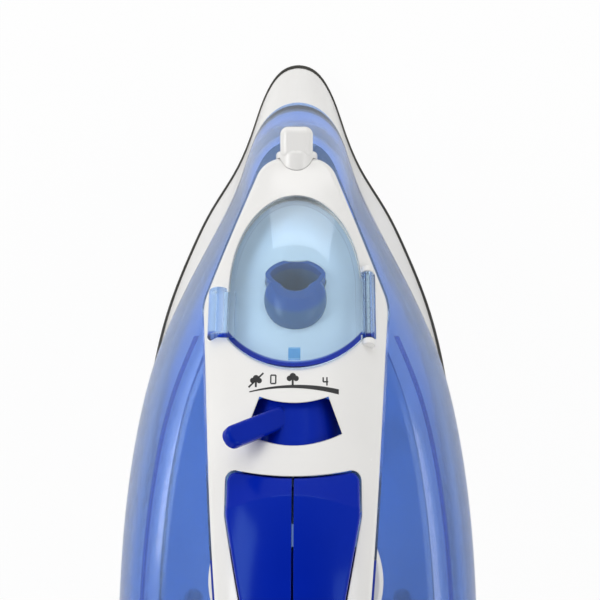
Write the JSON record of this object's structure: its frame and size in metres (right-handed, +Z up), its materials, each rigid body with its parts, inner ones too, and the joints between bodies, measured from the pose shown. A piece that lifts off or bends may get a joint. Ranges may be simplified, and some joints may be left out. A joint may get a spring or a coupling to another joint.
{
  "type": "steam iron",
  "caption": "Household steam iron with a see-through water tank, hinged fill lid, steam lever, spray and steam burst buttons, spray nozzle and temperature dial.",
  "frame": {"origin": "on the ironing face, under the middle of the iron's bounding box", "axes": "+Y from the heel to the tip, +Z up out of the ironing face, +X to the right"},
  "size_m": [0.1216, 0.25, 0.1343],
  "materials": {
    "white_plastic": "gloss",
    "tank_blue": "see-through gloss",
    "lid_blue": "see-through gloss",
    "deep_blue": "gloss",
    "handle_blue": "satin",
    "sole_metal": "satin cast and polished",
    "heater_steel": "heat-dulled",
    "steel": "plated",
    "brass": "turned",
    "dark_plastic": "matt",
    "pale_plastic": "matt",
    "hose_rubber": "matt",
    "seal_rubber": "matt",
    "lamp_amber": "clear gloss"
  },
  "bodies": {
    "iron": {"soleplate": "sole_metal", "heating_element": "heater_steel", "steam_chamber_cover": "steel", "chamber_screws": "steel", "skirt": "white_plastic", "sole_screws": "steel", "tank_gasket": "seal_rubber", "tank_shell": "tank_blue", "tank_floor": "tank_blue", "valve_seat": "brass", "lid_hinge_pin": "steel", "fill_tray": "white_plastic", "fill_spout": "deep_blue", "top_cover": "white_plastic", "pilot_lens": "lamp_amber", "lower_handle": "handle_blue", "handle_screws": "steel", "lever_pin": "steel", "mechanism_bracket": "pale_plastic", "button_pin": "steel", "spray_nozzle": "white_plastic", "nozzle_tip": "brass", "burst_hose": "hose_rubber", "spray_hose": "hose_rubber", "thermostat": "steel", "thermal_fuse": "pale_plastic", "rear_housing": "white_plastic", "rear_cover": "white_plastic", "rear_cover_screw": "steel", "cord_bush": "dark_plastic", "terminal_block": "dark_plastic", "spray_pump_body": "pale_plastic", "spray_pump_spring": "steel", "spray_intake_tube": "hose_rubber", "burst_pump_body": "pale_plastic", "burst_pump_spring": "steel", "burst_intake_tube": "hose_rubber"},
    "fill_lid": {"fill_lid": "lid_blue"},
    "steam_lever": {"steam_lever": "deep_blue"},
    "valve_stem": {"valve_stem": "pale_plastic"},
    "spray_button": {"spray_button": "deep_blue"},
    "steam_burst_button": {"steam_burst_button": "deep_blue"},
    "spray_piston": {"spray_pump_piston": "pale_plastic"},
    "burst_piston": {"burst_pump_piston": "pale_plastic"},
    "temperature_dial": {"temperature_dial": "white_plastic", "dial_shaft": "pale_plastic"}
  },
  "joints": [
    {"name": "lid_hinge", "type": "hinge", "parent": "iron", "child": "fill_lid", "pos_m": [0.0226, 0.052, 0.07247], "axis": [0, 0.8581, -0.5135], "range_deg": [0, 100]},
    {"name": "lever_turn", "type": "hinge", "parent": "iron", "child": "steam_lever", "pos_m": [0, -0.00414, 0.09573], "axis": [0, 0.8203, -0.5719], "range_deg": [0, 50]},
    {"name": "valve_lift", "type": "slide", "parent": "iron", "child": "valve_stem", "axis": [0, 0, 1], "range_m": [0, 0.0011]},
    {"name": "dial_turn", "type": "hinge", "parent": "iron", "child": "temperature_dial", "pos_m": [0, -0.047, 0.066], "axis": [0, 0, 1], "range_deg": [0, 270]},
    {"name": "spray_press", "type": "hinge", "parent": "iron", "child": "spray_button", "pos_m": [0, -0.057, 0.1235], "axis": [-1, 0, 0], "range_deg": [0, 6], "stiffness_Nm_per_rad": 1.5, "springref_deg": -2.86},
    {"name": "spray_stroke", "type": "slide", "parent": "iron", "child": "spray_piston", "axis": [0, 0, -1], "range_m": [0, 0.0041], "deforming": ["spray_pump_spring"]},
    {"name": "burst_press", "type": "hinge", "parent": "iron", "child": "steam_burst_button", "pos_m": [0, -0.057, 0.1235], "axis": [-1, 0, 0], "range_deg": [0, 6], "stiffness_Nm_per_rad": 1.5, "springref_deg": -2.86},
    {"name": "burst_stroke", "type": "slide", "parent": "iron", "child": "burst_piston", "axis": [0, 0, -1], "range_m": [0, 0.0041], "deforming": ["burst_pump_spring"]}
  ],
  "couplings": [
    {"joint": "valve_lift", "follows": "lever_turn", "m_per_rad": 0.001146},
    {"joint": "spray_stroke", "follows": "spray_press", "m_per_rad": 0.038},
    {"joint": "burst_stroke", "follows": "burst_press", "m_per_rad": 0.038}
  ]
}
